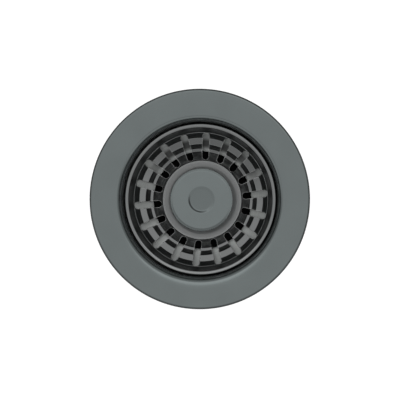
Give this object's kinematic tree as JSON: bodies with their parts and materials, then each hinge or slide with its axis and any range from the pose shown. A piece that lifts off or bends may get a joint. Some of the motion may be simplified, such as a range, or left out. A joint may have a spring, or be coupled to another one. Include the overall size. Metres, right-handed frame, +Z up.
{
  "type": "sink drain",
  "caption": "Round kitchen sink drain: flanged strainer body with gaskets, mounting cup, nuts and tailpiece, and a stepped, slotted lift-out basket with knob, post and rubber stopper.",
  "frame": {"origin": "on the drain's axis, at the height of the sink's upper face, which is the underside of the flange gasket", "axes": "+Z up along the drain's axis, out of the sink; the three arms of the bridge give X: one of them lies along +X"},
  "size_m": [0.1142, 0.1142, 0.1827],
  "materials": {
    "gunmetal": "satin gunmetal coating on drawn stainless steel",
    "steel": "bare drawn steel, fine brushed",
    "plated_brass": "nickel plated brass, satin",
    "rubber": "matte black rubber",
    "fibre": "pressed grey fibre",
    "nylon": "natural white nylon"
  },
  "bodies": {
    "drain": {"strainer_body": "gunmetal", "flange_gasket": "rubber", "sink_gasket": "rubber", "friction_ring": "fibre", "mounting_cup": "steel", "cup_washer": "fibre", "cup_nut": "plated_brass", "outlet_nipple": "plated_brass", "post_bridge": "steel", "tailpiece_washer": "nylon", "tailpiece": "plated_brass", "coupling_nut": "plated_brass"},
    "guide": {"post_sleeve": "nylon", "sleeve_spring": "steel"},
    "basket": {"basket_cup": "gunmetal", "knob": "gunmetal", "knob_collar": "gunmetal", "post": "steel", "upper_plate": "steel", "stopper": "rubber", "lower_plate": "steel", "lock_washer": "steel", "post_nut": "steel"}
  },
  "joints": [
    {"name": "sleeve_turn", "type": "hinge", "parent": "drain", "child": "guide", "pos_m": [0, 0, -0.053], "axis": [0, 0, 1], "continuous": true},
    {"name": "basket_lift", "type": "slide", "parent": "guide", "child": "basket", "axis": [0, 0, 1], "range_m": [0, 0.08]}
  ]
}
